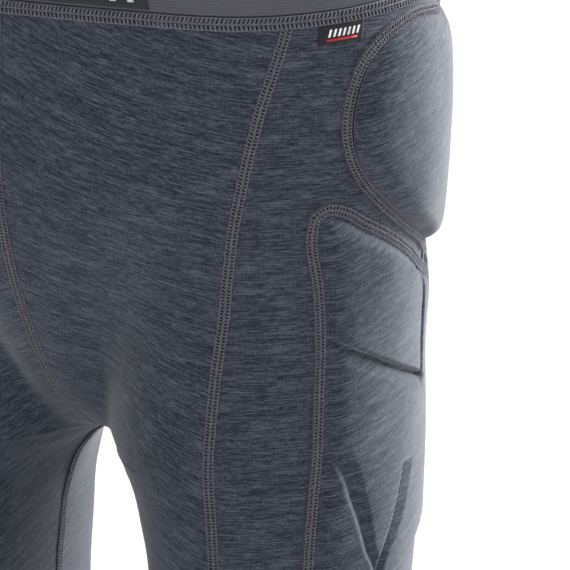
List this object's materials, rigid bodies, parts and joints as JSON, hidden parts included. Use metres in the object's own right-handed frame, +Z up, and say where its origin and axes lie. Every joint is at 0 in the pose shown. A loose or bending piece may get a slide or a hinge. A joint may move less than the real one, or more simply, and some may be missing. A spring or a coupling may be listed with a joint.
{
  "type": "padded impact shorts",
  "caption": "Close-fitting knit shorts with elastic waistband, flat seams and moulded impact pads sewn in over the hips, thighs and tailbone, for skiing and snowboarding falls.",
  "frame": {"origin": "middle of the bounding box at the foot of the leg hems", "axes": "+Z up from the hems to the waistband, -Y the front of the garment, +X the wearer's left"},
  "size_m": [0.3832, 0.2568, 0.506],
  "materials": {
    "knit": "blue-grey heather stretch knit, matt with a faint sheen",
    "pad_cover": "the same heather knit with its streaks running on the slant, stretched smooth over the pads",
    "seam_thread": "mauve-grey overlocked flat-seam thread",
    "elastic_band": "smooth plum-grey woven elastic",
    "badge_weave": "near-black woven patch with a plain stripe motif",
    "label_weave": "black woven tape with plain pale bars and a thin red line",
    "pad_foam": "closed-cell moulded impact foam, matt"
  },
  "bodies": {
    "root": {"front_panel_left": "knit", "front_panel_right": "knit", "side_panel_left": "knit", "side_panel_right": "knit", "back_panel_left": "knit", "back_panel_right": "knit", "hem_band_left": "knit", "hem_band_right": "knit", "hem_seam_left": "seam_thread", "hem_seam_right": "seam_thread", "inseam_left": "seam_thread", "inseam_right": "seam_thread", "front_seam_left": "seam_thread", "front_seam_right": "seam_thread", "back_seam_left": "seam_thread", "back_seam_right": "seam_thread", "centre_seam": "seam_thread", "waist_seam": "seam_thread", "waistband": "elastic_band", "waistband_badge": "badge_weave", "side_label": "label_weave", "hip_pad_foam_left": "pad_foam", "hip_pad_foam_right": "pad_foam", "hip_pad_cover_left": "pad_cover", "hip_pad_cover_right": "pad_cover", "hip_pad_seam_left": "seam_thread", "hip_pad_seam_right": "seam_thread", "thigh_pad_foam_left": "pad_foam", "thigh_pad_foam_right": "pad_foam", "thigh_pad_cover_left": "pad_cover", "thigh_pad_cover_right": "pad_cover", "thigh_pad_seam_left": "seam_thread", "thigh_pad_seam_right": "seam_thread", "tail_pad_foam": "pad_foam", "tail_pad_cover": "pad_cover", "tail_pad_seam": "seam_thread"}
  },
  "joints": []
}
